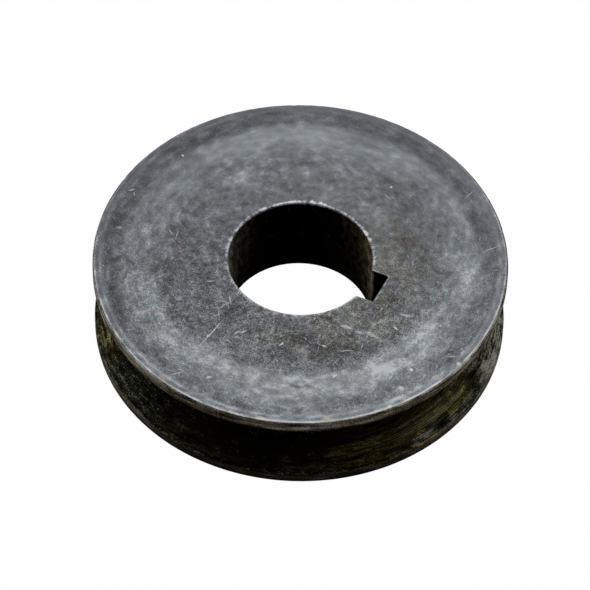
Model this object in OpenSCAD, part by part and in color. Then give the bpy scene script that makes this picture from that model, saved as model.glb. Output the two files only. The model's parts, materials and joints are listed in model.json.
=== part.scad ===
// Drive pulley for one V-belt, turned from a single steel blank.
// It lies on one side face: Z is the axis of the bore, z = 0 is that face, and the keyway points along +X.
// All lengths are in millimetres and all angles in degrees.

/* [Rim] */
// Diameter over the two flanges
outer_d = 73; // [64:0.5:120]
// Width of the flat land on the edge of each flange
land_w = 2.4; // [1.2:0.1:5]
// Radial width of the shallow bevel that breaks the edge of each side face
bevel_w = 1.3; // [0.5:0.1:2.5]
// How far that bevel falls below the side face
bevel_drop = 0.2; // [0.1:0.05:0.6]
// Radius of the corner between the bevel and the land
rim_corner_r = 0.25; // [0.05:0.05:0.5]

/* [Belt groove] */
// Width of the groove at the outer diameter
groove_w = 12; // [10:0.1:16]
// Depth of the groove below the outer diameter
groove_depth = 11.7; // [8:0.1:12]
// Angle between the two flanks of the groove
groove_angle = 34; // [30:1:38]
// Radius of the fillets at the root of the groove
root_fillet_r = 1; // [0.2:0.1:1.2]
// Radius of the lip where a flank meets its land
lip_r = 0.4; // [0.1:0.05:0.6]

/* [Keyed bore] */
// Diameter of the bore
bore_d = 25.4; // [20:0.1:28]
// Chamfer at each end of the bore
bore_chamfer = 0.3; // [0.1:0.05:1]
// Width of the keyway
key_w = 6.35; // [4:0.05:8]
// Depth of the keyway below the crown of the bore
key_depth = 2.9; // [1.5:0.1:3.5]
// Radius of the rounded corners where the keyway opens into the bore
key_mouth_r = 0.6; // [0.1:0.05:1]

/* [Hidden] */
$fn = 96;

outer_r = outer_d / 2;
bore_r = bore_d / 2;
width = groove_w + 2 * land_w;
half_w = width / 2;
root_r = outer_r - groove_depth;
root_half_w = groove_w / 2 - groove_depth * tan(groove_angle / 2);

// Straight pieces in the arc of each rounded corner
corner_steps = 6;
// How far a cutter reaches past the surface that it opens
cut_overlap = 0.02;
// How far the keyway cutter runs out of each side face
cut_runout = 1;

function unit(v) = v / norm(v);

// Arc of radius r that rounds corner b of the outline a, b, c and touches both of its sides
function rounded(a, b, c, r) =
    let (
        to_a = unit(a - b),
        to_c = unit(c - b),
        half = acos(to_a * to_c) / 2,
        centre = b + unit(to_a + to_c) * r / sin(half),
        start = b + to_a * r / tan(half) - centre,
        turn = (180 - 2 * half) * sign(to_a.x * to_c.y - to_a.y * to_c.x)
    )
    [for (i = [0 : corner_steps])
        let (s = -turn * i / corner_steps)
        centre + [start.x * cos(s) - start.y * sin(s), start.x * sin(s) + start.y * cos(s)]];

// Outline of the upper half of the section, as radius and height above the middle plane, from the groove to the bore
function half_section() =
    let (
        root_middle = [root_r, 0],
        root_corner = [root_r, root_half_w],
        lip = [outer_r, groove_w / 2],
        rim_corner = [outer_r, half_w - bevel_drop],
        bevel_top = [outer_r - bevel_w, half_w],
        bore_mouth = [bore_r + bore_chamfer, half_w],
        bore_wall = [bore_r, half_w - bore_chamfer]
    )
    concat(
        rounded(root_middle, root_corner, lip, root_fillet_r),
        rounded(root_corner, lip, rim_corner, lip_r),
        rounded(lip, rim_corner, bevel_top, rim_corner_r),
        [bevel_top, bore_mouth, bore_wall]
    );

// Whole section: the upper half and its mirror image, with the lower side face at z = 0
module section() {
    upper = half_section();
    last = len(upper) - 1;
    lower = [for (i = [last : -1 : 0]) [upper[i].x, -upper[i].y]];
    translate([0, half_w]) polygon(concat(upper, lower));
}

// Outline that the keyway removes, from inside the bore out to its flat floor along +X
module keyway_outline() {
    wall_y = key_w / 2;
    floor_x = bore_r + key_depth;
    centre_y = wall_y + key_mouth_r;
    centre_x = sqrt(pow(bore_r + key_mouth_r - cut_overlap, 2) - pow(centre_y, 2));
    sweep = atan2(centre_x, centre_y);
    mouth = [for (i = [0 : corner_steps])
        let (a = -90 - sweep * i / corner_steps)
        [centre_x + key_mouth_r * cos(a), centre_y + key_mouth_r * sin(a)]];
    side = concat([[floor_x, wall_y]], mouth);
    last = len(side) - 1;
    mirrored = [for (i = [last : -1 : 0]) [side[i].x, -side[i].y]];
    polygon(concat(side, [[0, 0]], mirrored));
}

module keyway() {
    translate([0, 0, -cut_runout])
        linear_extrude(width + 2 * cut_runout) keyway_outline();
}

module pulley() {
    color("dimgray")
        difference() {
            rotate_extrude() section();
            keyway();
        }
}

pulley();
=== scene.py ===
"""A V-belt drive pulley of blackened steel, lying on a pale floor."""
import json
import math
from types import SimpleNamespace

import bpy
import numpy as np
from mathutils import Matrix, Vector


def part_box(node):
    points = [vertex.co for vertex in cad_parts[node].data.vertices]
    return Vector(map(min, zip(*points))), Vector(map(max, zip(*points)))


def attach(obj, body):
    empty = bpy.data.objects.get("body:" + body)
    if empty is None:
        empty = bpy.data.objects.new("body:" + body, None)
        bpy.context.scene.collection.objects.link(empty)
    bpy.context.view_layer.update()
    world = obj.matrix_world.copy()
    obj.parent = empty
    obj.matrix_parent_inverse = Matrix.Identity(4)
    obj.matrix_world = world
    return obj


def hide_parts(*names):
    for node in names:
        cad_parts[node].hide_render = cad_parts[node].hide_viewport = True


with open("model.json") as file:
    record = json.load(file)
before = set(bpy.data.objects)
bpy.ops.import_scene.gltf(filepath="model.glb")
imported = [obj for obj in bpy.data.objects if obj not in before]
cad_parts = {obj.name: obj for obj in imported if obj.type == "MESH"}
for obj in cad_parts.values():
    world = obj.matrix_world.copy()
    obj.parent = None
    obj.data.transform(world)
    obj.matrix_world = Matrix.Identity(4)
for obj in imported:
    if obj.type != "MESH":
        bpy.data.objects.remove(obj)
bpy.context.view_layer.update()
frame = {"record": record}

MM = 0.001
mounts = {m["name"]: m for m in frame["record"]["mounts"]}
low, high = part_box("pulley")

# Main sizes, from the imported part
OUTER_R = high.x
WIDTH = high.z - low.z
HALF_WIDTH = WIDTH / 2
BORE_R = mounts["bore"]["dims"]["r_mm"] * MM
KEY_FLOOR_X = mounts["keyway"]["pos_m"][0]
ROOT_R = -mounts["belt_groove"]["pos_m"][0]

# Turned and broached details
LAND_WIDTH = 2.4 * MM
BEVEL_WIDTH = 1.3 * MM
BEVEL_DROP = 0.2 * MM
BEVEL_SOFT_R = 2.0 * MM
RIM_CORNER_R = 0.25 * MM
LIP_R = 0.4 * MM
ROOT_FILLET_R = 1.0 * MM
FLANK_ANGLE = math.radians(17)
KEY_HALF_WIDTH = 3.175 * MM
KEY_MOUTH_R = 0.6 * MM
BORE_EDGE = 0.3 * MM
KEY_EDGE = 0.15 * MM
UNDER_EDGE = 0.12 * MM

# How finely the surface is cut: columns round the bore, rows across the section
BORE_COLUMNS = 264
MOUTH_COLUMNS = 7
WALL_COLUMNS = 10
FLOOR_COLUMNS = 6
FACE_ROWS = 40
UNDER_FACE_ROWS = 8
EDGE_ROWS = 5
BEVEL_ROWS = 9
UNDER_BEVEL_ROWS = 3
LAND_ROWS = 12
FLANK_ROWS = 3
LOWER_FLANK_ROWS = 20
# How much closer the rows on a flank lie by its lip, 1 being even
FLANK_CROWDING = 1.5
# A last row on the under face, this share of the way out from the bore, keeps the edge's wear narrow
UNDER_EDGE_ROW = 0.015
# Rows on the bore's wall, as shares of the width
BORE_WALL_ROWS = (0.03, 0.25, 0.5, 0.75, 0.97)
# Angle past which a corner stays sharp in the shading
SHARP_ANGLE = math.radians(38)

# Wear of the edges: how uneven the bore's edge is, as a share of its width, how far the rim's corner is worn
# down, how far a dent in it reaches in and down, and how far wear reaches from a lip
EDGE_UNEVEN = 0.18
RIM_WORN_DOWN = 0.008 * MM
DENT_IN = 0.35 * MM
DENT_DOWN = 0.5 * MM
LIP_WEAR_REACH = 0.35 * MM

# Which finish each stretch of the section has: face, groove, land or bore steel
FINISH_OF = {"bore_edge": 0, "face": 0, "bevel": 0, "groove": 1, "land": 2, "bore": 3}
# What is painted on the mesh for the finishes: how pale it is, how brown with oil or film, how gritty, how
# much the clouds or tool lines show, and how far it is rubbed bare or pale with a painted highlight
LOOKS = ("tone", "film", "grit", "pattern", "wear_and_highlight")

# Azimuths of the side toward the camera, worn most and paler with painted sheen, and of the side where the
# face is brownest
SHEEN_AND_WEAR_AZIMUTH = math.radians(297)
FILM_AZIMUTH = math.radians(345)

# Rings on the side faces, as shares of the outer radius: where the rubbed ring fades in and out, where the
# outer ring fades in and the brown film out, and where two bright lines, partly painted highlight and partly
# rubbed steel, run round the bevel
RING_BEGINS = (0.61, 0.79)
RING_ENDS = (0.835, 0.885)
OUTER_RING_BEGINS = (0.84, 0.9)
FILM_ENDS = (0.5, 0.74)
BEVEL_LINE = 0.964
RIM_LINE = 0.989
# How far those two lines spread across the bevel
BEVEL_LINE_SPREAD = 0.17 * MM
RIM_LINE_SPREAD = 0.15 * MM

# Depths in the groove, in millimetres below the rim: where the pale lip fades out, where the painted shade of
# the deep groove begins and where the tool lines fade out
LIP_ENDS = (0.9, 2.4)
PAINTED_SHADE_BEGINS = (3.2, 6)
LINES_END = (4.2, 5.2)
# The oil in the groove ends at the keyway's azimuth at this depth, and so many degrees further per millimetre
OIL_END = 3.5
OIL_SLANT = 3.2
# Between these azimuths, in degrees from the keyway, the groove turns from brown to grey and back to black
GREY_BEGINS = (-5, 6)
GREY_ENDS = (60, 110)
# Lines along a land, by their place and spread in millimetres from its sharp edge
PALE_LINE = (0.3, 0.13)
DARK_LINE = (0.65, 0.17)

# The camera that took the photograph: a long lens, looking down past the keyway
VIEW_AZIMUTH = math.radians(25.5)
VIEW_ELEVATION = math.radians(50.7)
VIEW_ROLL = math.radians(1.04)
VIEW_DISTANCE = 642.9 * MM
VIEW_LEFT = 0.95 * MM
VIEW_DOWN = 6.5 * MM
FOCAL_LENGTH = 223.5
SENSOR = 36.0
RIGHT = Vector((math.cos(VIEW_AZIMUTH), math.sin(VIEW_AZIMUTH), 0))
AWAY = Vector((-math.sin(VIEW_AZIMUTH), math.cos(VIEW_AZIMUTH), 0))
UP = Vector((0, 0, 1))

# The floor: half its side, how far it lies below the pulley, and the share of white that the camera sees
FLOOR_HALF = 1.5
FLOOR_GAP = 0.02 * MM
FLOOR_WHITE = 0.99

# Patterns on the side faces, in millimetres: clouds and mottle in the oxide, flecks, grain, drawn as coarse
# as a pixel, strokes by length and width, patches of film, spots of colour, the shake of marks, and relief
CLOUD = 4.0
MOTTLE = 1.2
FLECK = 0.6
GRAIN = 0.2
STROKE = (1.6, 0.2)
FILM_PATCH = 4.0
COLOUR_SPOT = 1.0
SHAKE = 0.6
OXIDE_RELIEF = 0.02
# Directions of the strokes in degrees
STROKE_TURNS = (15, 58, 104, 151)
# Nets of random scratches and of tan specks: turn in degrees, length and width of a cell in millimetres, and
# how far a mark reaches in its cell, as a share of it
SCRATCH_NETS = ((33, 2.6, 0.5, 0.2), (97, 3.0, 0.5, 0.2), (140, 2.4, 0.5, 0.2))
TAN_NET = (0, 1.5, 1.5, 0.09)

# Patterns in the groove, on the lands and in the bore, in millimetres: grain and the net of specks, drawn no
# finer than a pixel, patches of oil, the tool's faint ridges by length and spacing, half a strong ridge's
# width, and relief
GRIME_GRAIN = 0.25
SPECK_NET = 0.32
OIL_PATCH = 1.5
RIDGES = (40, 0.2)
STRONG_RIDGE = 0.06
GRIME_RELIEF = 0.03
# Radius in millimetres at which the lengths along the tool's path are true
PATH_R = 30
# Where the six colours of such a finish lie, from dark to pale, and the tone that the last one stands for
BAND = (0.0, 0.167, 0.333, 0.5, 0.667, 1.0)
BAND_END = 1.5

# Stains on the upper face: azimuth in degrees from the keyway, radius, length round the circle and width
# across it in millimetres, and how much paler (or darker, below 0) the face is there
FACE_STAINS = [
    (18, 29.7, 3.4, 1.3, 0.3), (7, 27, 3, 2, 0.12), (45, 29.8, 3.6, 1.1, 0.2), (35, 26.5, 4, 1.6, 0.06),
    (76, 28.8, 5, 2.2, 0.1), (107, 27, 4, 1.9, 0.07), (134, 28.8, 9, 2.6, 0.06),
    (144, 21.4, 2.4, 2.2, 0.15), (101, 21.8, 2.6, 1.2, 0.12), (63, 17, 2.5, 2, 0.08),
    (78, 24, 1.5, 1, -0.12), (226, 27.2, 4.2, 1.2, 0.22), (262, 28.9, 5.4, 1.6, 0.14),
    (297, 28.6, 3.6, 1.8, 0.18), (324.5, 27, 2.8, 1.5, 0.3), (348, 27.6, 4.6, 1.7, 0.28),
    (297, 22, 0.8, 2.4, 0.12), (341, 21, 2.4, 1.6, 0.12), (323, 17, 1.4, 2.4, 0.12),
    (241, 15.7, 1.4, 2, 0.12), (258, 22, 3, 2, 0.08), (298, 32.5, 1.2, 2.2, 0.14), (326, 34, 1, 1.6, 0.16),
    (22, 33.6, 9, 1.6, 0.08), (36, 18.8, 2, 1.3, -0.14), (50, 19, 2, 1.2, -0.16), (97, 18.8, 3, 1.4, -0.15),
    (75, 24.2, 1.6, 1.6, -0.12), (188, 15.4, 3.4, 1.4, -0.2), (213, 22.8, 3.4, 2.2, -0.15),
    (240, 24.5, 1.2, 1.4, -0.14), (255, 16.6, 2.2, 2.4, -0.18), (269, 19.6, 0.8, 1, -0.14),
    (293, 17.8, 3, 2.2, -0.26), (290, 22.4, 1.4, 2, -0.24), (312, 22, 4.6, 2.4, -0.24),
    (326, 23, 2, 1.4, -0.14), (358, 18.6, 2, 1.2, -0.12), (6, 24, 3, 1.4, -0.1), (338, 29, 5, 2.2, 0.12),
    (64, 26, 7, 4, -0.12), (312, 32.6, 4, 1.6, -0.12), (338, 32.6, 4, 1.4, -0.14),
    (345, 33.8, 3, 1.2, -0.2), (282, 23, 5, 2.2, 0.1), (311, 20, 5, 2.4, -0.08), (150, 33, 5, 1.4, -0.08),
    (200, 33.6, 14, 1.8, -0.05), (253.5, 29.8, 2.4, 0.7, 0.12), (297, 20.4, 1.2, 0.6, 0.15),
    (328, 25.6, 2.4, 1.5, 0.18), (339, 24.8, 3.6, 1.7, 0.2), (14, 26, 4.5, 2, 0.12),
    (180, 24, 6, 2.4, 0.08), (231, 29.6, 4, 1.4, -0.18), (36, 29, 3, 1.6, -0.1), (70, 29, 3.4, 1.8, -0.09),
    (264, 30, 2, 1.2, 0.1), (272, 26.4, 4, 1, -0.14), (310, 28.5, 3, 1.8, -0.1), (350, 26, 4, 1.5, 0.1),
    (118, 23, 9, 0.9, 0.06), (150, 21, 3, 2, 0.1), (186, 23.5, 6, 1.6, 0.05), (292, 23.6, 4, 1.3, 0.1),
    (238, 18.5, 5, 2, -0.08), (9, 28.8, 3.4, 1.7, 0.14), (36, 31.2, 7, 1.2, -0.12), (176, 26, 5, 3, 0.08),
    (205, 28.6, 3, 1.4, 0.08), (232, 17.5, 4, 1.6, -0.07), (152, 18, 3, 2, 0.07),
    (327, 28.6, 1.6, 1.6, 0.18), (277, 27.8, 1.5, 1.2, -0.12), (297, 34.4, 1, 1.8, 0.12),
    (62, 23.5, 6, 1.6, 0.08),
]

# Stains on the groove's lower flank, the same way
GROOVE_STAINS = [
    (350.5, 34, 2.8, 1.3, 0.1), (314, 32.5, 5, 2, 0.06), (216, 33.6, 3.4, 2.4, 0.27),
    (355.5, 32.8, 1.6, 0.8, 0.12), (358.6, 33.8, 1.1, 1.6, -0.3), (340.5, 35.3, 2, 1, -0.34),
    (334, 35.5, 2.2, 0.6, 0.55), (327, 36, 1.4, 0.7, -0.32), (321.5, 35.4, 1.2, 0.7, -0.2),
    (330.5, 36.4, 1.6, 0.3, 0.3), (291.7, 34.2, 1.2, 0.7, 0.3), (283, 33.6, 1.6, 0.5, 0.12),
    (277, 31.7, 2.4, 0.5, 0.08), (306, 33.4, 2.4, 0.9, 0.08), (236, 33.4, 4, 1.6, 0.1),
    (237, 36.2, 3, 0.4, -0.12), (253, 33.2, 2, 1.4, -0.12), (224.3, 34.2, 1.3, 1.3, -0.12),
    (218.5, 34.7, 1.2, 0.9, 0.14), (213, 33, 1.2, 2, -0.04), (6, 33.4, 0.9, 1, -0.2),
    (12, 34.8, 1, 0.7, -0.12), (8, 36, 3, 0.6, 0.16),
]
# Where the brown oil on that flank is thicker, or thinner, below 0
GROOVE_FILMS = [
    (340, 35.6, 2.2, 1, -0.8), (334, 35.5, 2.4, 0.8, -0.8), (349, 36.1, 4, 0.6, -0.7),
    (224, 34.2, 2, 1.4, 0.5), (350, 34, 4, 1.6, 0.8), (215, 33.5, 3.4, 2, 0.6),
    (218.5, 34.7, 1.6, 1.2, 0.6), (326, 36, 3, 0.8, -0.6),
]

# Scratches and bright specks on the upper face: azimuth in degrees from the keyway, radius, length and width
# in millimetres, the turn of the length from the radius in degrees, and strength
FACE_MARKS = [
    (254.1, 23, 6.4, 0.2, 7, 0.75), (248.3, 19, 2.4, 0.2, 47, 0.5), (245.5, 17.4, 1.9, 0.25, 4, 0.45),
    (244, 15.4, 2.2, 0.25, 63, 0.45), (244.4, 16.4, 1.8, 0.25, -63, 0.4),
    (263.5, 20.1, 1.3, 0.28, -26, 0.8), (265.7, 19.5, 1.2, 0.28, -32, 0.8),
    (286.5, 19.6, 0.9, 0.35, -41, 0.9), (307.8, 20.1, 0.8, 0.35, 46, 0.7),
    (308.9, 26.9, 1.2, 0.28, -48, 0.9), (333.7, 31.2, 0.6, 0.5, 0, 1), (326.7, 30.6, 1.9, 0.18, -53, 0.7),
    (327, 33.5, 1.1, 1, 60, 0.6), (342.7, 22.7, 1.1, 0.22, 6, 0.9), (354.2, 28.5, 0.5, 0.3, 5, 0.7),
    (317, 22.1, 2.4, 0.18, 72, 0.6), (323.7, 17.4, 2.2, 0.6, 45, 0.45), (327.9, 19.6, 1.6, 0.6, 41, 0.45),
    (331.9, 21.2, 3, 0.7, 22, 0.42), (351.3, 22.3, 2, 0.5, 16, 0.45), (262.8, 22.5, 1.4, 0.2, 80, 0.55),
    (257, 33.5, 2.5, 0.25, -31, 0.45), (265.9, 30.9, 0.9, 0.5, -43, 0.6), (72.2, 23.3, 0.5, 0.4, 0, 0.8),
    (157.8, 31.8, 0.5, 0.4, 0, 0.8), (194.4, 32.6, 1.2, 0.7, 25, 0.3), (192.4, 23.5, 2, 0.18, -42, 0.45),
    (192.9, 22.4, 2.1, 0.2, -85, 0.5), (225.3, 16.7, 1.5, 0.25, -14, 0.7), (179, 33.8, 1.1, 0.35, 40, 0.45),
    (180, 33, 0.8, 0.3, -40, 0.45), (346.2, 33.9, 2.2, 0.18, 35, 0.55), (52.8, 33.6, 2.2, 0.18, 21, 0.45),
    (30.5, 33.8, 3.6, 0.18, 26, 0.55), (69, 21.2, 1.8, 0.2, 85, 0.45),
]
# Dark, pale and tan smudges on it, the same way, each with its colour
FACE_SMUDGES = [
    (294.6, 28.5, 2.6, 1, 75, 0.9, "#4a4a48"), (299.1, 28.5, 1.7, 0.9, 79, 0.8, "#50534f"),
    (336.4, 28.2, 1.4, 0.8, 73, 0.75, "#54575a"), (328, 23.9, 2.4, 1.6, 78, 0.65, "#47474a"),
    (207.3, 32.2, 3.2, 1.2, 31, 0.95, "#3c3b3b"), (197.6, 34.1, 2.6, 1.6, 59, 0.6, "#424045"),
    (184.2, 31.9, 3, 1.8, 82, 0.6, "#4a474e"), (194.4, 23.3, 2.2, 1.4, 12, 0.6, "#4c4d46"),
    (263.1, 33.1, 3.6, 1.6, -75, 0.5, "#5a5860"), (295.3, 24, 2, 1.2, 10, 0.5, "#454543"),
    (297.3, 20.9, 2.3, 1, 80, 0.5, "#9c9589"), (298.2, 22.4, 2.2, 0.7, -22, 0.5, "#9c9689"),
    (296.4, 23.8, 1.5, 0.6, -32, 0.5, "#9c9589"), (286.7, 31.3, 2.8, 1.4, 86, 0.3, "#8b847b"),
    (269.4, 28.7, 2, 0.7, -63, 0.35, "#b0a99d"), (275.6, 26.9, 0.8, 0.5, -69, 0.4, "#b0a595"),
    (289.6, 29.3, 2, 0.7, 17, 0.35, "#b0a99d"), (254, 33.1, 2.2, 1.2, 81, 0.3, "#8f887c"),
    (214.5, 16, 1.2, 0.7, 16, 0.4, "#999286"), (262.5, 17.3, 1.1, 0.5, -12, 0.45, "#b0a595"),
    (221, 30.9, 0.4, 0.4, 0, 0.8, "#c4a87c"), (255.4, 35.7, 2, 0.8, 88, 0.5, "#b0a693"),
    (325.4, 35.1, 1.8, 0.7, 84, 0.75, "#c0bdb4"), (331.4, 34.9, 2, 0.8, 92, 0.7, "#bcbbb6"),
    (337.5, 35, 1.6, 0.7, 86, 0.7, "#bcbbb6"), (277.2, 36, 1.4, 0.6, 90, 0.85, "#c8c0ae"),
    (285.1, 35.8, 1.6, 0.6, 90, 0.8, "#c8c6bf"), (303.6, 35.5, 1.5, 0.9, 80, 0.85, "#c8bfa8"),
    (301.4, 34.9, 1.8, 0.9, 80, 0.5, "#b4b4b2"), (321.2, 36, 0.8, 0.7, 90, 1, "#e4e0d2"),
    (296, 35.2, 3, 0.7, 88, 0.65, "#626364"), (316, 35.2, 3, 0.8, 90, 0.6, "#66686a"),
    (344.5, 34.8, 2.6, 0.9, 88, 0.5, "#5c5854"), (267, 35.3, 2.4, 0.7, 90, 0.6, "#686662"),
    (345.6, 35.8, 0.9, 0.7, 90, 0.95, "#dcdad2"),
]

# Dents in the upper rim's edge: azimuth in degrees from the keyway, width and depth in millimetres
RIM_NICKS = [
    (346, 0.9, 0.12), (321.3, 0.8, 0.07), (37, 0.7, 0.06), (176, 0.8, 0.05), (262, 0.7, 0.06),
    (118, 0.8, 0.05),
]
# Dents in the upper edge of the bore, the same way
BORE_NICKS = [
    (107.5, 0.5, 0.25), (100.2, 0.5, 0.2), (46.3, 0.4, 0.15), (150, 0.5, 0.1), (193, 0.5, 0.1),
]

# Sectors round the axis: azimuth from the keyway and spread in degrees, and strength
# In the groove, the darker sector, on the side toward the camera, is painted shade; the other is paler
GROOVE_PAINTED_SHADE = [(284, 27, -0.33), (345, 12, 0.12)]
GROOVE_OIL = [(326, 32, 1.1), (268, 14, 0.6)]
LIP_WEAR = [(331, 7, 0.3), (241, 14, 0.25)]
LOWER_LAND_GRIME_AND_SHADE = [(295, 40, 0.12), (6, 34, -0.24)]
LOWER_LAND_RUBS = [(331, 7, 0.4), (243, 12, 0.16)]
# In the bore: painted light in the sectors left and right of the camera, and painted shade, black, in the
# rest and the keyway
BORE_PAINTED_LIGHT = [(216, 28, 1.1), (170, 25, 0.33), (25, 31, 0.82), (74, 24, 0.25)]
BORE_OIL = [(50, 45, 0.8), (158, 18, 0.7)]


def linear(code):
    """Turns an sRGB hex colour such as "#6a7075" into linear RGBA."""
    srgb = np.array([int(code[i:i + 2], 16) for i in (1, 3, 5)]) / 255
    rgb = np.where(srgb <= 0.04045, srgb / 12.92, ((srgb + 0.055) / 1.055) ** 2.4)
    return (*rgb.tolist(), 1.0)


def node(tree, kind, inputs=None, out=0, stops=None, **settings):
    """Adds a shader node with its settings and colour stops, links or sets its inputs, and gives one output.

    Inputs go by name or number. A map range has its value at 0, the range it comes from at 1 and 2 and the
    one it goes to at 3 and 4. A mix has its factor at 0, its two colours at 6 and 7 and the mixed colour as
    output 2.
    """
    made = tree.nodes.new("ShaderNode" + kind)
    for name, value in settings.items():
        setattr(made, name, value)
    for name, value in (inputs or {}).items():
        if isinstance(value, bpy.types.NodeSocket):
            tree.links.new(value, made.inputs[name])
        else:
            made.inputs[name].default_value = value
    if stops:
        band = made.color_ramp.elements
        band.remove(band[1])
        band[0].position, band[0].color = stops[0][0], linear(stops[0][1])
        for position, code in stops[1:]:
            band.new(position).color = linear(code)
    return made.outputs[out]


def smooth(x, start, end):
    """Rises from 0 at start to 1 at end as 3 t squared minus 2 t cubed."""
    t = np.clip((x - start) / (end - start), 0, 1)
    return t * t * (3 - 2 * t)


def bell(x, centre, spread):
    """A bell: exp(-(t / spread) squared), where t is how far x is from the centre."""
    return np.exp(-((x - centre) / spread) ** 2)


def sector(angle, azimuth, spread):
    """A bell round the axis, with its azimuth and spread in degrees."""
    turn = (np.degrees(angle) - azimuth + 180) % 360 - 180
    return bell(turn, 0, spread)


def sectors(angle, table):
    """The sum of the sectors in a table, each times its strength."""
    total = np.zeros_like(angle)
    for azimuth, spread, strength in table:
        total += strength * sector(angle, azimuth, spread)
    return total


def nicks(angle, radius, table):
    """Depth of the dents round an edge of that radius: a bell of half the dent's width for each row."""
    dents = [(azimuth, math.degrees(width * MM / 2 / radius), depth * MM) for azimuth, width, depth in table]
    return sectors(angle, dents)


def stained(angle, radius, table):
    """The sum of the stains in a table, each a bell round the axis times a bell across the radius."""
    total = np.zeros(np.broadcast_shapes(np.shape(angle), np.shape(radius)))
    for azimuth, middle, along, across, strength in table:
        spread = math.degrees(along / middle)
        total += strength * sector(angle, azimuth, spread) * bell(radius / MM, middle, across)
    return total


def wobble(angle, seed, slowest, fastest):
    """A closed unevenness round the axis, about -1 to 1: a sum of twelve cosines with seeded phases."""
    draw = np.random.default_rng(seed)
    turns = draw.integers(slowest, fastest, 12)
    phase = draw.uniform(0, 2 * math.pi, 12).reshape(-1, *[1] * np.ndim(angle))
    return np.cos(np.multiply.outer(turns, angle) + phase).sum(0) / 4


def sheen_and_wear_side(angle):
    """From 1 on the side toward the camera, worn most and paler with painted sheen, to 0 on the other: half
    of 1 plus the cosine of the angle.
    """
    return 0.5 + 0.5 * np.cos(angle - SHEEN_AND_WEAR_AZIMUTH)


def bore_outline():
    """The keyed bore seen along the axis, counter-clockwise from the middle of the keyway's floor.

    Half the floor is a line at x = floor, the wall a line at y = half the key's width, the mouth an arc that
    touches the wall and the bore, and the bore an arc about the axis. The other half is the mirror image in
    y. Returns the points, the normals that point into the metal, longer at the two inner corners, and where
    the outline is bore and where it is a mouth, from 0 to 1.
    """
    centre_y = KEY_HALF_WIDTH + KEY_MOUTH_R
    centre_x = math.sqrt((BORE_R + KEY_MOUTH_R) ** 2 - centre_y ** 2)
    touch = math.atan2(centre_y, centre_x)
    floor_y = np.linspace(0, KEY_HALF_WIDTH, FLOOR_COLUMNS + 1)
    wall_x = np.linspace(KEY_FLOOR_X, centre_x, WALL_COLUMNS + 1)[1:-1]
    mouth = np.linspace(-math.pi / 2, touch - math.pi, MOUTH_COLUMNS + 1)
    bore = np.linspace(touch, math.pi, BORE_COLUMNS + 1)[1:]
    x = np.concatenate([np.full_like(floor_y, KEY_FLOOR_X), wall_x,
                        centre_x + KEY_MOUTH_R * np.cos(mouth), BORE_R * np.cos(bore)])
    y = np.concatenate([floor_y, np.full_like(wall_x, KEY_HALF_WIDTH),
                        centre_y + KEY_MOUTH_R * np.sin(mouth), BORE_R * np.sin(bore)])
    nx = np.concatenate([np.ones_like(floor_y), np.zeros_like(wall_x), -np.cos(mouth), np.cos(bore)])
    ny = np.concatenate([np.zeros_like(floor_y), np.ones_like(wall_x), -np.sin(mouth), np.sin(bore)])
    ny[FLOOR_COLUMNS] = 1
    on_mouth = np.concatenate([0 * floor_y, 0 * wall_x, 0 * mouth + 1, 0 * bore])
    on_bore = np.concatenate([0 * floor_y, 0 * wall_x, np.linspace(0, 1, len(mouth)), 0 * bore + 1])
    points = np.stack([np.append(x, x[-2:0:-1]), np.append(y, -y[-2:0:-1])])
    normals = np.stack([np.append(nx, nx[-2:0:-1]), np.append(ny, -ny[-2:0:-1])])
    return points, normals, np.append(on_bore, on_bore[-2:0:-1]), np.append(on_mouth, on_mouth[-2:0:-1])


def rounded(points, radii, steps):
    """The corners of a path of straight sides, each as an arc that touches both of its sides."""
    arcs = []
    for before, corner, after, radius in zip(points, points[1:], points[2:], radii):
        back = np.subtract(before, corner) / np.linalg.norm(np.subtract(before, corner))
        on = np.subtract(after, corner) / np.linalg.norm(np.subtract(after, corner))
        half = math.acos(back @ on) / 2
        inward = (back + on) / np.linalg.norm(back + on)
        side = (on - back) / np.linalg.norm(on - back)
        turn = np.linspace(-1, 1, steps + 1)[:, None] * (math.pi / 2 - half)
        arcs.append(corner + inward * radius / math.sin(half)
                    + radius * (np.sin(turn) * side - np.cos(turn) * inward))
    return arcs


def between(start, end, steps, crowding=1.0):
    """Points along a straight side, without its two ends: shares i / steps, raised to the crowding."""
    share = np.linspace(0, 1, steps + 1)[1:-1, None] ** crowding
    return start * (1 - share) + end * share


def rim_section(bevel_rows, flank_rows):
    """Radius and height above the middle plane of half the rim, in order from the face to the groove's root.

    Straight sides with rounded corners: a shallow bevel, the flange's land, the flank of the V and its root.
    Rows on the flank lie closer by its lip. Returns the stretches by name.
    """
    lip_z = HALF_WIDTH - LAND_WIDTH
    root_z = lip_z - (OUTER_R - ROOT_R) * math.tan(FLANK_ANGLE)
    corners = [(OUTER_R - 2 * BEVEL_WIDTH, HALF_WIDTH), (OUTER_R - BEVEL_WIDTH, HALF_WIDTH),
               (OUTER_R, HALF_WIDTH - BEVEL_DROP), (OUTER_R, lip_z), (ROOT_R, root_z), (ROOT_R, 0)]
    radii = [BEVEL_SOFT_R, RIM_CORNER_R, LIP_R, ROOT_FILLET_R]
    start, corner, lip, root = rounded(corners, radii, EDGE_ROWS)
    return {
        "bevel": np.concatenate([start, between(start[-1], corner[0], bevel_rows), corner[:1]]),
        "land": np.concatenate([corner[1:], between(corner[-1], lip[0], LAND_ROWS)]),
        "groove": np.concatenate([lip, between(lip[-1], root[0], flank_rows, FLANK_CROWDING), root]),
    }


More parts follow.
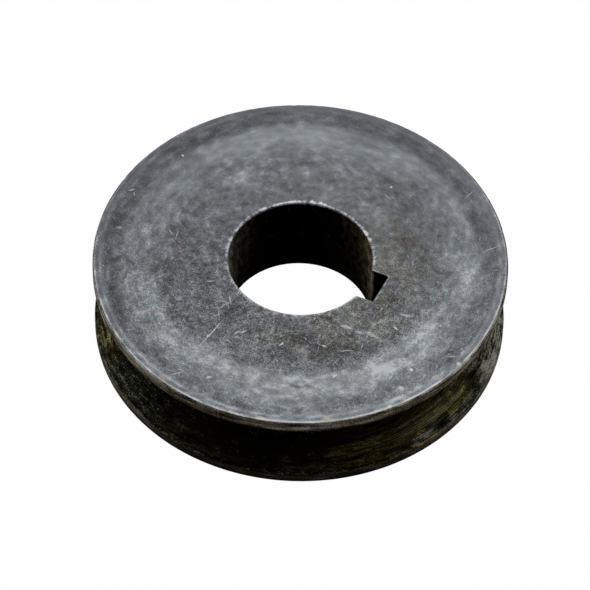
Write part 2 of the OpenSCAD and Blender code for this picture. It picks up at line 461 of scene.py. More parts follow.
def section_rows():
    """The rows of the surface, from the upper bore edge over face, rim, groove and under face to the bore.

    Faces and wall are straight, and the bore's edges are quarter circles. Returns the name of each row's
    stretch and, as columns, its share of the way from the bore's outline to a circle, how many edge widths
    the outline is set back, the circle's radius, the height, and the rise above it in edge widths.
    """
    upper_rim = rim_section(BEVEL_ROWS, FLANK_ROWS)
    lower_rim = rim_section(UNDER_BEVEL_ROWS, LOWER_FLANK_ROWS)
    bevel_r = upper_rim["bevel"][0, 0]
    quarter = np.linspace(0, math.pi / 2, EDGE_ROWS + 1)
    back = quarter[::-1]
    face = np.linspace(0, 1, FACE_ROWS + 1)[1:-1]
    under = np.append(np.linspace(1, 0, UNDER_FACE_ROWS + 1)[1:-1], UNDER_EDGE_ROW)
    stretches = [("bore_edge", 0, 1 - np.cos(quarter), 0, WIDTH, np.sin(quarter) - 1),
                 ("face", face, 1, bevel_r, WIDTH, 0)]
    for name in ("bevel", "land", "groove"):
        r, z = upper_rim[name].T
        stretches.append((name, 1, 0, r, HALF_WIDTH + z, 0))
    stretches.append(("groove", 1, 0, np.array([ROOT_R]), HALF_WIDTH, 0))
    for name in ("groove", "land", "bevel"):
        r, z = lower_rim[name][::-1].T
        stretches.append((name, 1, 0, r, HALF_WIDTH - z, 0))
    stretches += [("face", under, 1, bevel_r, 0, 0),
                  ("bore_edge", 0, 1 - np.cos(back), 0, 0, 1 - np.sin(back)),
                  ("bore", 0, 0, 0, WIDTH * np.array(BORE_WALL_ROWS), 0)]
    runs = [np.broadcast_arrays(*stretch[1:]) for stretch in stretches]
    names = np.repeat([stretch[0] for stretch in stretches], [len(run[0]) for run in runs])
    return names, [np.concatenate(column)[:, None] for column in zip(*runs)]


def pulley_grid():
    """The whole pulley as one closed grid: columns round the axis, rows round the section.

    A point on a row lies the row's share of the way from the keyed bore's outline, set back by the width of
    its broken edge, to the row's circle. Dents push the upper rim's corner in and down, as a bell across it.
    Returns the points, with all that their looks are worked out from.
    """
    outline, normals, on_bore, on_mouth = bore_outline()
    names, (share, setback, radius, height, rise) = section_rows()
    upper = height > HALF_WIDTH
    angle = np.unwrap(np.arctan2(outline[1], outline[0]))
    direction = np.stack([np.cos(angle), np.sin(angle)])[:, None]

    edge = KEY_EDGE + (BORE_EDGE - KEY_EDGE) * on_bore
    edge = edge * (1 + EDGE_UNEVEN * wobble(angle, 11, 15, 90)) + on_bore * nicks(angle, BORE_R, BORE_NICKS)
    edge = np.where(upper, edge, UNDER_EDGE)
    inner = outline[:, None] + normals[:, None] * (setback * edge)

    rim_dent = nicks(angle, OUTER_R, RIM_NICKS) + RIM_WORN_DOWN * (1 + wobble(angle, 5, 20, 120))
    corner = bell(radius, OUTER_R, DENT_IN) * bell(height, WIDTH - BEVEL_DROP, DENT_DOWN)
    dent = corner * upper * rim_dent

    xy = inner * (1 - share) + direction * radius * share - direction * dent
    z = height + rise * edge - dent
    return SimpleNamespace(points=np.concatenate([xy, z[None]]), names=names, angle=angle, radius=radius,
                           height=height, upper=upper, setback=setback, dent=dent, on_bore=on_bore,
                           on_mouth=on_mouth)


def face_looks(x, y):
    """The tone, brown film, grit and cloudiness of a side face.

    A rubbed ring and an outer ring are smooth steps of the radius, both palest, as painted sheen, on the side
    toward the camera, and each stain is a bell. The film is thickest round the bore, near the keyway, and the
    grit on the side toward the camera.
    """
    angle = np.arctan2(y, x)
    share = np.hypot(x, y) / OUTER_R + 0.008 * wobble(angle, 21, 2, 9)
    sheen_and_wear = sheen_and_wear_side(angle)
    # From -1 to 1 towards the keyway, and from 0 to 1 midway between the side toward the camera and the other
    keyed = np.sin(angle - SHEEN_AND_WEAR_AZIMUTH)
    beside = 4 * sheen_and_wear * (1 - sheen_and_wear)
    begins = smooth(share, RING_BEGINS[0] + 0.06 * sheen_and_wear, RING_BEGINS[1] - 0.055 * sheen_and_wear)
    ends = smooth(share, RING_ENDS[0], RING_ENDS[1] + 0.04 * sheen_and_wear)
    ring = begins * (1 - ends)
    outer = smooth(share, *OUTER_RING_BEGINS)

    # Painted sheen: the rubbed ring and the outer ring are palest on the side toward the camera
    inner_tone = 0.362 - 0.04 * sheen_and_wear + 0.015 * keyed - 0.0625 * beside
    ring_tone = 0.21 - 0.35 * sheen_and_wear + 0.55 * sheen_and_wear ** 2
    outer_tone = 0.4 * sheen_and_wear - 0.24 + 0.045 * keyed
    patchy = 1 + 0.12 * wobble(angle + 7 * share, 22, 4, 22)
    tone = inner_tone + ring * patchy * ring_tone + outer * outer_tone
    tone = tone + stained(angle, share * OUTER_R, FACE_STAINS)

    film_side = 0.5 + 0.5 * np.cos(angle - FILM_AZIMUTH)
    film = (1 - smooth(share, *FILM_ENDS)) * (0.05 + 0.85 * film_side ** 2) + 0.15 * sheen_and_wear * ring

    inner_grit = 0.25 + 0.78 * smooth(sheen_and_wear, 0, 0.95) - 0.1 * keyed * beside
    ring_loss = ring * (0.68 - 1.97 * sheen_and_wear + 1.88 * sheen_and_wear ** 2)
    grit = inner_grit * (1 - ring_loss) * (1 - 0.3 * outer * sheen_and_wear)

    inner_cloud = 0.83 - 0.13 * keyed
    ring_cloud = 0.5 + 1.14 * sheen_and_wear - 0.52 * sheen_and_wear ** 2
    outer_cloud = 0.65 - 0.1 * sheen_and_wear + 0.4 * sheen_and_wear ** 2
    cloud = inner_cloud + ring * (ring_cloud - inner_cloud)
    cloud = cloud + outer * (1 - ring) * (outer_cloud - cloud)
    return tone, film, grit, cloud


def groove_looks(angle, radius, height):
    """The tone, brown oil, grit and tool lines of the groove.

    It is green-black, with painted shade where it is deep and on the side toward the camera, and paler by the
    lip, with a grey sector beside the keyway.
    The oil lies in sectors and ends at a slant, further round where it is deeper. Stains lie on the lower
    flank.
    """
    depth = (OUTER_R - radius) / MM
    by_lip = 1 - smooth(depth, *LIP_ENDS)
    painted_depth_shade = smooth(depth, *PAINTED_SHADE_BEGINS)
    turn = (np.degrees(angle) + 180) % 360 - 180
    oiled = 1 - smooth(turn - OIL_SLANT * (depth - OIL_END), -4, 0) * (turn > -90)
    grey_side = smooth(turn, *GREY_BEGINS) * (1 - smooth(turn, *GREY_ENDS))
    lower = height < HALF_WIDTH

    # Painted shade on the side of the groove toward the camera
    tone = 0.42 + 0.03 * wobble(angle, 31, 2, 12) + sectors(angle, GROOVE_PAINTED_SHADE)
    # Painted shade: darker where the groove is deep
    tone = (tone + 0.4 * grey_side + 0.1 * by_lip) * (1 - 0.45 * painted_depth_shade)
    tone = tone + lower * stained(angle, radius, GROOVE_STAINS)
    film = 0.1 + oiled * sectors(angle, GROOVE_OIL) * (1 - 0.3 * by_lip)
    film = np.clip(film + lower * stained(angle, radius, GROOVE_FILMS), 0, 1)
    grit = 0.45 + 0.55 * sector(angle, 238, 17)
    lines = sector(angle, 341, 14) * oiled * (1 - smooth(depth, *LINES_END)) * (1 - by_lip)
    return tone, film, grit, lines


def land_looks(angle, height):
    """The tone, brown oil, grit and tool lines of the lands.

    On two sides each has a pale line along its sharp edge and a dark one beside it, both bells across the
    land. The lower land is darker with grime and painted shade, most on the side toward the camera, with pale
    sectors by its lip.
    """
    drop = (HALF_WIDTH - np.abs(height - HALF_WIDTH)) / MM
    left, right = sector(angle, 230, 45), sector(angle, 345, 25)
    lower = height < HALF_WIDTH
    # Grime and painted shade: the lower land is darker, most on the side toward the camera
    grime_and_shade = lower * (0.28 + sectors(angle, LOWER_LAND_GRIME_AND_SHADE) - 0.07 * wobble(angle, 43, 6, 40))
    rubs = lower * sectors(angle, LOWER_LAND_RUBS) * smooth(drop, 1.5, 2.3)

    tone = 0.63 + 0.03 * left + 0.02 * right - grime_and_shade + 0.05 * wobble(angle, 41, 3, 20) + rubs
    tone = tone + (0.4 * left + 0.5 * right - 0.14) * bell(drop, *PALE_LINE)
    tone = tone - (0.06 + 0.3 * left + 0.22 * right) * bell(drop, *DARK_LINE)
    tone = tone - (0.12 + 0.15 * right) * smooth(drop, 1.5, 2.4)
    return tone, 0.75 + 0.25 * wobble(angle, 42, 3, 12), 0.5, 0.0


def bore_looks(angle, on_bore):
    """The tone, brown oil, grit and tool lines of the bore: black as painted shade, but for painted light in
    two sectors on each side.
    """
    return on_bore * sectors(angle, BORE_PAINTED_LIGHT), sectors(angle, BORE_OIL), 0.2, 0.0


def bevel_highlights_and_wear(angle, radius):
    """Two bright lines round a bevel, at its start and by the rim, partly painted highlight and partly rubbed
    steel: bells across the radius, with a wobble.
    """
    start = bell(radius, BEVEL_LINE * OUTER_R, BEVEL_LINE_SPREAD) * (0.3 + 0.7 * sector(angle, 245, 45))
    rim = bell(radius, RIM_LINE * OUTER_R, RIM_LINE_SPREAD)
    return start * (1 + 0.5 * wobble(angle, 14, 4, 40)), rim * (1 + 0.4 * wobble(angle, 15, 8, 70))


def edge_wear_and_highlight(grid, on):
    """How far the steel is rubbed bare or pale with a painted highlight, from 0 to 1: on the bore's edges,
    bevels, lips, key mouth and dents.

    The bore's edge is bright in a patchy sector across the bore from the camera, where two wobbles are high,
    partly wear and partly painted highlight. Wear on a lip is a bell of the distance from it.
    """
    angle, radius = grid.angle, grid.radius
    sheen_and_wear = sheen_and_wear_side(angle)
    # Wear and painted highlight on the bore's far edge, which faces the camera, patchy with two wobbles
    far_edge_wear_and_highlight = np.clip(0.54 + 0.55 * wobble(angle, 12, 3, 16) + 0.42 * wobble(angle, 13, 20, 110), 0, 1.2)
    far_edge_wear_and_highlight = far_edge_wear_and_highlight * sector(angle, 115, 95)
    bore_dents = (nicks(angle, BORE_R, BORE_NICKS) / (0.2 * MM)) ** 2 * smooth(grid.setback, 0.2, 0.5)
    bore_edge = smooth(grid.setback, 0.02, 0.25) * (0.25 + 0.15 * sheen_and_wear + 0.65 * grid.on_bore * far_edge_wear_and_highlight)
    bore_edge = bore_edge + grid.upper * grid.on_bore * bore_dents
    start_line, rim_line = bevel_highlights_and_wear(angle, radius)
    # Bevel lines, partly painted highlight, strongest on the side toward the camera
    bevel = (0.1 + 0.2 * start_line + 0.5 * rim_line) * sheen_and_wear
    from_lip = np.hypot(radius - OUTER_R, np.abs(grid.height - HALF_WIDTH) - (HALF_WIDTH - LAND_WIDTH))
    lip = (0.25 + sectors(angle, LIP_WEAR)) * bell(from_lip, 0, LIP_WEAR_REACH)
    wear_and_highlight = on["bore_edge"] * bore_edge + on["bevel"] * bevel + on["groove"] * lip
    # Painted highlight on the key mouth's rounded edges
    return np.clip(wear_and_highlight + on["bore"] * grid.on_mouth * 0.5 + 6 * grid.dent / MM, 0, 1)


def pulley_looks(grid):
    """The looks of every point, by name: a side face's, paler on the bevels, or its own stretch's.

    The under face is the upper one's mirror image.
    """
    angle, radius, height = grid.angle, grid.radius, grid.height
    on = {name: (grid.names == name)[:, None] for name in FINISH_OF}
    sheen_and_wear = sheen_and_wear_side(angle)
    x, y = grid.points[:2]
    tone, film, grit, cloud = face_looks(x, np.where(grid.upper, y, -y))
    start_line, rim_line = bevel_highlights_and_wear(angle, radius)
    # Bevel lines, partly painted highlight, paler on the side toward the camera
    bright = (0.3 * start_line + 0.5 * rim_line) * (0.25 + 0.75 * sheen_and_wear)
    chipped = 0.14 * sheen_and_wear * wobble(angle + 2 * radius / OUTER_R, 16, 12, 110)
    tone = tone + on["bevel"] * (0.11 + 0.06 * sheen_and_wear + chipped + bright) - on["bore_edge"] * 0.06
    looks = [tone, film, grit * (1 - 0.5 * on["bevel"]), cloud * (1 - 0.4 * on["bevel"])]
    for name, others in (("groove", groove_looks(angle, radius, height)), ("land", land_looks(angle, height)),
                         ("bore", bore_looks(angle, grid.on_bore))):
        looks = [np.where(on[name], other, look) for other, look in zip(others, looks)]
    return dict(zip(LOOKS, (*looks, edge_wear_and_highlight(grid, on))))


def add_pulley(finishes):
    """Makes the pulley's mesh: four-sided faces between neighbouring rows and columns, closed both ways."""
    grid = pulley_grid()
    rows, columns = grid.points.shape[1:]
    index = np.arange(rows * columns).reshape(rows, columns)
    down, along = np.roll(index, -1, 0), np.roll(index, -1, 1)
    quads = np.stack([index, down, np.roll(down, -1, 1), along], -1).reshape(-1, 4)
    mesh = bpy.data.meshes.new("pulley_body")
    mesh.from_pydata(grid.points.reshape(3, -1).T.tolist(), [], quads.tolist())
    for name, values in pulley_looks(grid).items():
        attribute = mesh.attributes.new(name, "FLOAT", "POINT")
        values = np.broadcast_to(values, (rows, columns)).astype(np.float32)
        attribute.data.foreach_set("value", values.ravel())
    for material in finishes:
        mesh.materials.append(material)
    finish = np.array([FINISH_OF[name] for name in grid.names])
    finish = np.maximum(finish, np.roll(finish, -1))
    mesh.polygons.foreach_set("material_index", np.repeat(finish, columns).astype(np.int32))
    mesh.shade_smooth()
    mesh.set_sharp_from_angle(angle=SHARP_ANGLE)
    mesh.validate()
    body = bpy.data.objects.new("pulley_body", mesh)
    bpy.context.scene.collection.objects.link(body)
    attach(body, "root")
    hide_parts("pulley")


def turned(tree, place, along, across, by_radius=True):
    """Coordinates that follow the lathe's tool: a step is a length along its path round the axis, or across.

    The direction from the axis, times the path's radius over the length along, changes slowly round the
    pulley. The third coordinate, over the length across, changes quickly: it is the height or, by radius,
    the radius plus the depth below the upper face.
    """
    flat = node(tree, "VectorMath", {0: place, 1: (1, 1, 0)}, operation="MULTIPLY")
    around = node(tree, "VectorMath", {0: node(tree, "VectorMath", {0: flat}, operation="NORMALIZE"),
                                       "Scale": PATH_R / along}, operation="SCALE")
    step = node(tree, "SeparateXYZ", {0: place}, out="Z")
    if by_radius:
        fall = node(tree, "Math", {0: WIDTH / MM, 1: step}, operation="SUBTRACT")
        step = node(tree, "VectorMath", {0: flat}, out="Value", operation="LENGTH")
        step = node(tree, "Math", {0: step, 1: fall}, operation="ADD")
    step = node(tree, "Math", {0: step, 1: 1 / across}, operation="MULTIPLY")
    return node(tree, "VectorMath", {0: around, 1: node(tree, "CombineXYZ", {2: step})}, operation="ADD")


def new_finish(name):
    """Starts a finish: its material, node tree and shader, the place in millimetres and the painted looks."""
    material = bpy.data.materials.new(name)
    material.use_nodes = True
    tree = material.node_tree
    metres = node(tree, "TexCoord", out="Object")
    place = node(tree, "VectorMath", {0: metres, "Scale": 1 / MM}, operation="SCALE")
    looks = [node(tree, "Attribute", out="Fac", attribute_name=look) for look in LOOKS]
    return material, tree, tree.nodes["Principled BSDF"], place, looks


def oxide_texture(tree, place, tone, grit, pattern):
    """The oxide's tone with clouds, flecks, grain and strokes, and its roughness, mottle and grain alone."""
    # Clouds and mottle are drawn out round the axis, and smoother where there is little grit
    fineness = node(tree, "MapRange", {0: grit, 1: 0.2, 2: 1.1, 3: 0.4, 4: 0.6})
    for size, detail, depth in ((CLOUD, 2.0, 0.85), (MOTTLE, 3.0, 1.05)):
        mottle = node(tree, "TexNoise", {"Vector": turned(tree, place, 1.8 * size, size), "Scale": 1.0,
                                         "Detail": detail, "Roughness": fineness, "Distortion": 0.3})
        uneven = node(tree, "Math", {0: mottle, 1: depth, 2: -0.5 * depth}, operation="MULTIPLY_ADD")
        tone = node(tree, "Math", {0: uneven, 1: pattern, 2: tone}, operation="MULTIPLY_ADD")

    # Light and dark strokes lie in four directions
    flecks = node(tree, "TexNoise", {"Vector": place, "Scale": 1 / FLECK, "Detail": 2.0, "Distortion": 1.0})
    grain = node(tree, "TexNoise", {"Vector": place, "Scale": 1 / GRAIN, "Detail": 1.0})
    light, dark = 0.0, 0.0
    for turn in STROKE_TURNS:
        lie = node(tree, "Mapping", {"Vector": place, "Rotation": (0, 0, math.radians(turn)),
                                     "Scale": (*STROKE, 1.0)}, vector_type="TEXTURE")
        streak = node(tree, "TexNoise", {"Vector": lie, "Scale": 1.0, "Detail": 1.0})
        lighter = node(tree, "MapRange", {0: streak, 1: 0.55, 2: 0.75})
        darker = node(tree, "MapRange", {0: streak, 1: 0.45, 2: 0.25})
        light = node(tree, "Math", {0: lighter, 1: light}, operation="MAXIMUM")
        dark = node(tree, "Math", {0: darker, 1: dark}, operation="MAXIMUM")
    rough = node(tree, "Math", {0: grain, 1: 1.3, 2: -1.1}, operation="MULTIPLY_ADD")
    for part, share in ((flecks, 0.8), (light, 0.4), (dark, -0.35)):
        rough = node(tree, "Math", {0: part, 1: share, 2: rough}, operation="MULTIPLY_ADD")
    tone = node(tree, "Math", {0: rough, 1: grit, 2: tone}, operation="MULTIPLY_ADD")
    tone = node(tree, "Math", {0: tone, 1: 0.8, 2: 0.2}, operation="MULTIPLY_ADD")
    return tone, rough, mottle, grain


def oxide_colour(tree, place, tone, film, grit):
    """The oxide's colour: blue-grey, brown under the film, purple in dark spots, greenish in places."""
    oxide = node(tree, "ValToRGB", {0: tone}, stops=[
        (0.0, "#2a2c30"), (0.2, "#414549"), (0.33, "#53575b"), (0.46, "#63676b"), (0.6, "#74797d"),
        (0.74, "#888d91"), (0.87, "#999ea2"), (1.0, "#b8bcc0")])
    browned = node(tree, "ValToRGB", {0: tone}, stops=[
        (0.0, "#2a2824"), (0.2, "#3f3d37"), (0.33, "#53524c"), (0.46, "#65655f"), (0.6, "#777973"),
        (0.74, "#8b8d88"), (1.0, "#aeb0ac")])

    # The brown film lies in patches
    patches = node(tree, "TexNoise", {"Vector": place, "Scale": 1 / FILM_PATCH, "Detail": 3.0})
    patches = node(tree, "MapRange", {0: patches, 1: 0.35, 2: 0.6, 3: 0.3, 4: 1.4})
    film = node(tree, "Math", {0: patches, 1: film}, operation="MULTIPLY", use_clamp=True)

    # Thin oxide shows purple in the dark spots of the gritty side
    dark = node(tree, "MapRange", {0: tone, 1: 0.5, 2: 0.25})
    gritty = node(tree, "MapRange", {0: grit, 1: 0.3, 2: 0.65})
    cast = node(tree, "Math", {0: dark, 1: gritty}, operation="MULTIPLY")
    oxide = node(tree, "Mix", {0: cast, 6: oxide, 7: linear("#fff5f8")}, out=2, data_type="RGBA",
                 blend_type="MULTIPLY")
    colour = node(tree, "Mix", {0: film, 6: oxide, 7: browned}, out=2, data_type="RGBA")

    # Spots lean to green or purple, most on the gritty side
    apart = node(tree, "VectorMath", {0: place, 1: (50, 0, 0)}, operation="ADD")
    lean = node(tree, "TexNoise", {"Vector": apart, "Scale": 1 / COLOUR_SPOT, "Detail": 2.0})
    lean = node(tree, "MapRange", {0: lean, 1: 0.35, 2: 0.65})
    spots = node(tree, "Mix", {0: lean, 6: linear("#f5fffc"), 7: linear("#fff5fd")}, out=2, data_type="RGBA")
    share = node(tree, "MapRange", {0: grit, 1: 0.15, 2: 0.6, 3: 0.5, 4: 1.0})
    return node(tree, "Mix", {0: share, 6: colour, 7: spots}, out=2, data_type="RGBA", blend_type="MULTIPLY")


def random_marks(tree, place, grit, turn, length, width, reach):
    """Marks in a fifth of the cells of a turned net, each as long and wide as its cell times twice the reach.

    The net's turn is in degrees and its cells in millimetres. Marks are stronger where there is more grit.
    """
    lie = node(tree, "Mapping", {"Vector": place, "Rotation": (0, 0, math.radians(turn)),
                                 "Scale": (length, width, 1.0)}, vector_type="TEXTURE")
    cell = node(tree, "TexVoronoi", {"Vector": lie, "Scale": 1.0}, out="Distance")
    chance = node(tree, "SeparateColor", {0: cell.node.outputs["Color"]})
    strength = node(tree, "MapRange", {0: chance, 1: 0.8, 2: 1.0, 4: 0.7})
    mark = node(tree, "MapRange", {0: cell, 1: reach, 2: 0.4 * reach})
    mark = node(tree, "Math", {0: mark, 1: strength}, operation="MULTIPLY")
    return node(tree, "Math", {0: mark, 1: grit}, operation="MULTIPLY")


def placed_marks(tree, place, table):
    """The marks of a table on the upper face: soft ellipses, whose outlines a 1 mm noise makes uneven."""
    shake = node(tree, "TexNoise", {"Vector": place, "Scale": 1.0, "Detail": 2.0}, out="Color")
    shaken = node(tree, "VectorMath", {0: shake, 1: (SHAKE, SHAKE, 0), 2: place}, operation="MULTIPLY_ADD")
    marks = []
    for azimuth, radius, length, width, turn, strength, *_ in table:
        spot = math.radians(azimuth)
        x, y = (radius * part(spot) + SHAKE / 2 for part in (math.cos, math.sin))
        lie = node(tree, "Mapping", {
            "Vector": shaken, "Location": (x, y, WIDTH / MM), "Rotation": (0, 0, spot + math.radians(turn)),
            "Scale": (length / 2, width / 2, 2.0)}, vector_type="TEXTURE")
        away = node(tree, "VectorMath", {0: lie}, out="Value", operation="LENGTH")
        marks.append(node(tree, "MapRange", {0: away, 1: 1.3, 2: 0.4, 3: 0.0, 4: strength}))
    return marks


def face_steel():
    """Turned steel under thin black oxide: dark blue-grey, cloudy, half matt, paler with painted sheen on the
    side toward the camera, and bright on rubbed edges and painted highlights.
    """
    material, tree, shader, place, (tone, film, grit, pattern, wear_and_highlight) = new_finish("black_oxide_steel")
    tone, rough, mottle, grain = oxide_texture(tree, place, tone, grit, pattern)
    colour = oxide_colour(tree, place, tone, film, grit)

    # Bare steel where edges are rubbed or carry a painted highlight, in scratches 1 mm long and in the placed
    # marks
    rubbed = node(tree, "Math", {0: mottle, 1: wear_and_highlight}, operation="ADD")
    rubbed = node(tree, "Math", {0: grain, 1: rubbed}, operation="ADD")
    rubbed = node(tree, "MapRange", {0: rubbed, 1: 1.2, 2: 1.9})
    scratches = [random_marks(tree, place, grit, *net) for net in SCRATCH_NETS]
    for mark in scratches + placed_marks(tree, place, FACE_MARKS):
        rubbed = node(tree, "Math", {0: rubbed, 1: mark}, operation="MAXIMUM")

    # Tan specks of 0.27 mm lie under the rubbed steel, and smudges, through which the grain shows, over it
    specks = random_marks(tree, place, grit, *TAN_NET)
    colour = node(tree, "Mix", {0: specks, 6: colour, 7: linear("#c9b998")}, out=2, data_type="RGBA")
    colour = node(tree, "Mix", {0: rubbed, 6: colour, 7: linear("#cdcfd1")}, out=2, data_type="RGBA")
    grainy = node(tree, "MapRange", {0: grain, 1: 0.3, 2: 0.7, 3: 0.45, 4: 1.3})
    for mark, (*_, code) in zip(placed_marks(tree, place, FACE_SMUDGES), FACE_SMUDGES):
        mark = node(tree, "Math", {0: mark, 1: grainy}, operation="MULTIPLY", use_clamp=True)
        colour = node(tree, "Mix", {0: mark, 6: colour, 7: linear(code)}, out=2, data_type="RGBA")

    tree.links.new(colour, shader.inputs["Base Color"])
    tree.links.new(node(tree, "MapRange", {0: rubbed, 3: 0.55, 4: 0.4}), shader.inputs["Roughness"])
    shader.inputs["Metallic"].default_value = 0.5
    bump = node(tree, "Bump", {"Strength": 0.2, "Distance": OXIDE_RELIEF * MM, "Height": rough})
    tree.links.new(bump, shader.inputs["Normal"])
    return material


def tool_ridges(tree, place, mottle, radii):
    """Bright ridges left by the tool: many faint ones, and strong ones at some radii, broken by blotches."""
    ridges = node(tree, "TexNoise", {"Vector": turned(tree, place, *RIDGES), "Scale": 1.0, "Detail": 1.0})
    ridges = node(tree, "MapRange", {0: ridges, 1: 0.54, 2: 0.66, 4: 0.75})
    flat = node(tree, "VectorMath", {0: place, 1: (1, 1, 0)}, operation="MULTIPLY")
    reach = node(tree, "VectorMath", {0: flat}, out="Value", operation="LENGTH")
    whole = node(tree, "MapRange", {0: mottle, 1: 0.35, 2: 0.55, 4: 0.9})
    for radius in radii:
        ridge = node(tree, "Math", {0: reach, 1: radius, 2: STRONG_RIDGE}, operation="COMPARE")
        ridge = node(tree, "Math", {0: ridge, 1: whole}, operation="MULTIPLY")
        ridges = node(tree, "Math", {0: ridges, 1: ridge}, operation="MAXIMUM")
    return ridges


def grimy_steel(name, streak, blotch, specks, greys, browns, bare, roughness, shine, by_radius=False,
                ridges=()):
    """Turned steel under old oil and grime: dark and matt, streaked as the tool went round, with pale specks.

    The streaks and blotches each have a length, a width, both in millimetres, and a strength. The greys and
    browns are colours from dark to pale, the browns where oil lies, and the ridges are radii in millimetres.
    """
    material, tree, shader, place, (tone, film, grit, pattern, wear_and_highlight) = new_finish(name)

    # Tool streaks, blotches and grain
    streaks = node(tree, "TexNoise", {"Vector": turned(tree, place, *streak[:2], by_radius), "Scale": 1.0,
                                      "Detail": 3.0})
    mottle = node(tree, "TexNoise", {"Vector": turned(tree, place, *blotch[:2], by_radius), "Scale": 1.0,
                                     "Detail": 3.0, "Roughness": 0.6, "Distortion": 0.4})
    grain = node(tree, "TexNoise", {"Vector": place, "Scale": 1 / GRIME_GRAIN, "Detail": 1.0})

    # Specks of 0.2 mm in three of ten cells of a net
    cell = node(tree, "TexVoronoi", {"Vector": place, "Scale": 1 / SPECK_NET}, out="Distance")
    chance = node(tree, "SeparateColor", {0: cell.node.outputs["Color"]})
    strength = node(tree, "MapRange", {0: chance, 1: 0.7, 2: 1.0})
    speck = node(tree, "MapRange", {0: cell, 1: 0.32, 2: 0.1})
    speck = node(tree, "Math", {0: speck, 1: strength}, operation="MULTIPLY")

    # The tone times all of these, which together are 1 on average but for the specks
    rough = node(tree, "Math", {0: grain, 1: 4.0, 2: -2.0}, operation="MULTIPLY_ADD")
    rough = node(tree, "Math", {0: speck, 1: specks, 2: rough}, operation="MULTIPLY_ADD")
    uneven = 1 - streak[2] / 2 - blotch[2] / 2
    for part, share in ((streaks, streak[2]), (mottle, blotch[2]), (rough, grit)):
        uneven = node(tree, "Math", {0: part, 1: share, 2: uneven}, operation="MULTIPLY_ADD")
    tone = node(tree, "Math", {0: tone, 1: uneven}, operation="MULTIPLY")

    # Grey metal, brown where patches of oil lie
    shade = node(tree, "Math", {0: tone, 1: 1 / BAND_END}, operation="MULTIPLY")
    grey = node(tree, "ValToRGB", {0: shade}, stops=list(zip(BAND, greys)))
    brown = node(tree, "ValToRGB", {0: shade}, stops=list(zip(BAND, browns)))
    patches = node(tree, "TexNoise", {"Vector": place, "Scale": 1 / OIL_PATCH, "Detail": 2.0})
    patches = node(tree, "MapRange", {0: patches, 1: 0.35, 2: 0.6, 3: 0.5, 4: 1.3})
    film = node(tree, "Math", {0: film, 1: patches}, operation="MULTIPLY", use_clamp=True)
    colour = node(tree, "Mix", {0: film, 6: grey, 7: brown}, out=2, data_type="RGBA")

    # Bare steel on worn edges and ridges, and a painted highlight on the key mouth
    rubbed = node(tree, "Math", {0: mottle, 1: wear_and_highlight}, operation="ADD")
    rubbed = node(tree, "Math", {0: rubbed, 1: grain}, operation="ADD")
    rubbed = node(tree, "MapRange", {0: rubbed, 1: 1.22, 2: 1.85})
    if ridges:
        lines = tool_ridges(tree, place, mottle, ridges)
        lines = node(tree, "Math", {0: lines, 1: pattern}, operation="MULTIPLY")
        rubbed = node(tree, "Math", {0: rubbed, 1: lines}, operation="MAXIMUM")
    colour = node(tree, "Mix", {0: rubbed, 6: colour, 7: linear(bare)}, out=2, data_type="RGBA")

    tree.links.new(colour, shader.inputs["Base Color"])
    shader.inputs["Roughness"].default_value = roughness
    shader.inputs["Specular IOR Level"].default_value = shine
    bump = node(tree, "Bump", {"Strength": 0.3, "Distance": GRIME_RELIEF * MM, "Height": tone})
    tree.links.new(bump, shader.inputs["Normal"])
    return material


def groove_steel():
    """Turned steel under belt grime and oil: near black, partly from painted shade in its tone, matt, finely
    lined, brown where the oil is thick.
    """
    return grimy_steel(
        "oily_turned_steel", streak=(9, 0.22, 3.0), blotch=(1.8, 0.8, 3.0), specks=4.0,
        greys=("#000000", "#0f110b", "#24271e", "#43453e", "#6a6b65", "#a3a39c"),
        browns=("#000000", "#191004", "#362c10", "#5f5425", "#897d48", "#bcb48c"),
        bare="#8e8a74", roughness=0.75, shine=0.005, by_radius=True, ridges=(32.3, 33.9))


def land_steel():
    """Turned steel with dried stains: mid grey to brown, in long blotches round the rim, and matt."""
    return grimy_steel(
        "stained_turned_steel", streak=(6, 0.4, 1.7), blotch=(4, 1.2, 3.2), specks=0.9,
        greys=("#060503", "#28261f", "#4f4d45", "#737168", "#97958b", "#c4c3bc"),
        browns=("#060401", "#292317", "#514a3a", "#766f5e", "#9b9482", "#c8c2b2"),
        bare="#a2a19c", roughness=0.6, shine=0.005)


def bore_steel():
    """Bored steel, black as painted shade but for painted light on its sides: soft, dark blotches with almost
    no streaks and no shine.
    """
    return grimy_steel(
        "bored_steel", streak=(6, 1.0, 0.2), blotch=(2.4, 1.6, 2.6), specks=0.3,
        greys=("#000000", "#0e0f0b", "#31332b", "#595b50", "#808175", "#aaab9f"),
        browns=("#000000", "#160c08", "#3c3120", "#655843", "#8e8068", "#b6aa94"),
        bare="#8f8a76", roughness=0.7, shine=0.0)


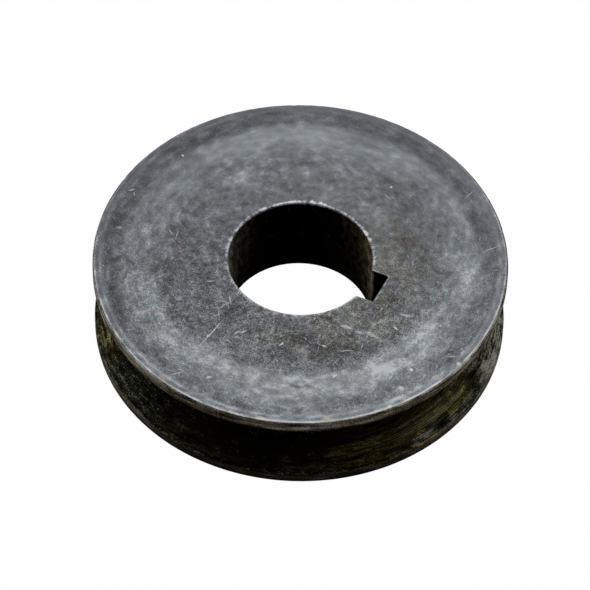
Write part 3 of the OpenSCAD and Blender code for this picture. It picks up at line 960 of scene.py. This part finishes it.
def add_floor():
    """A sheet of matt white paper a hair below the pulley, clear from below.

    Camera, mirror and glass rays see it nearly white, and it keeps a faint shadow.
    """
    material = bpy.data.materials.new("white_paper")
    material.use_nodes = True
    tree = material.node_tree
    paper = tree.nodes["Principled BSDF"]
    paper.inputs["Base Color"].default_value = linear("#c4c4c4")
    paper.inputs["Roughness"].default_value = 0.9
    paper.inputs["Specular IOR Level"].default_value = 0.1
    seen = node(tree, "LightPath").node.outputs
    share = node(tree, "Math", {0: seen["Is Camera Ray"], 1: seen["Is Glossy Ray"]}, operation="MAXIMUM")
    share = node(tree, "Math", {0: share, 1: seen["Is Transmission Ray"]}, operation="MAXIMUM")
    share = node(tree, "Math", {0: share, 1: FLOOR_WHITE}, operation="MULTIPLY")
    glow = node(tree, "Emission", {"Color": (1, 1, 1, 1), "Strength": 1.0})
    sheet = node(tree, "MixShader", {0: share, 1: paper.outputs[0], 2: glow})
    below = node(tree, "NewGeometry", out="Backfacing")
    sheet = node(tree, "MixShader", {0: below, 1: sheet, 2: node(tree, "BsdfTransparent")})
    tree.links.new(sheet, tree.nodes["Material Output"].inputs["Surface"])
    mesh = bpy.data.meshes.new("floor")
    corners = [(x * FLOOR_HALF, y * FLOOR_HALF, -FLOOR_GAP) for x, y in ((-1, -1), (1, -1), (1, 1), (-1, 1))]
    mesh.from_pydata(corners, [], [(0, 1, 2, 3)])
    mesh.materials.append(material)
    floor = bpy.data.objects.new("floor", mesh)
    bpy.context.scene.collection.objects.link(floor)


def add_lights():
    """Soft studio light: a wide overhead panel a little behind the pulley, side panels and an even world."""
    scene = bpy.context.scene
    for name, place, size, power in (
        ("overhead_panel", 0.5 * AWAY + 0.65 * UP, 0.8, 3.6),
        ("left_panel", -0.6 * RIGHT + 0.2 * AWAY + 0.3 * UP, 0.4, 1.6),
        ("right_panel", 0.6 * RIGHT + 0.2 * AWAY + 0.3 * UP, 0.4, 1.6),
    ):
        lamp = bpy.data.lights.new(name, "AREA")
        lamp.size = size
        lamp.energy = power
        panel = bpy.data.objects.new(name, lamp)
        panel.location = place
        panel.rotation_euler = place.to_track_quat("Z", "Y").to_euler()
        scene.collection.objects.link(panel)
    world = bpy.data.worlds.new("studio")
    world.use_nodes = True
    world.node_tree.nodes["Background"].inputs["Color"].default_value = (1, 1, 1, 1)
    world.node_tree.nodes["Background"].inputs["Strength"].default_value = 0.2
    scene.world = world
    scene.view_settings.view_transform = "Standard"


def add_camera():
    """The photograph's camera: it looks at a point a little left of and below the upper face's centre."""
    back = math.sin(VIEW_ELEVATION) * UP - math.cos(VIEW_ELEVATION) * AWAY
    right = Matrix.Rotation(VIEW_ROLL, 3, back) @ RIGHT
    up = back.cross(right)
    aim = WIDTH * UP - VIEW_LEFT * right - VIEW_DOWN * up
    camera = bpy.data.objects.new("camera", bpy.data.cameras.new("camera"))
    camera.data.sensor_width = SENSOR
    camera.data.lens = FOCAL_LENGTH
    turn = Matrix((right, up, back)).transposed().to_4x4()
    camera.matrix_world = Matrix.Translation(aim + VIEW_DISTANCE * back) @ turn
    bpy.context.scene.collection.objects.link(camera)
    bpy.context.scene.camera = camera


add_camera()
add_pulley([face_steel(), groove_steel(), land_steel(), bore_steel()])
add_floor()
add_lights()
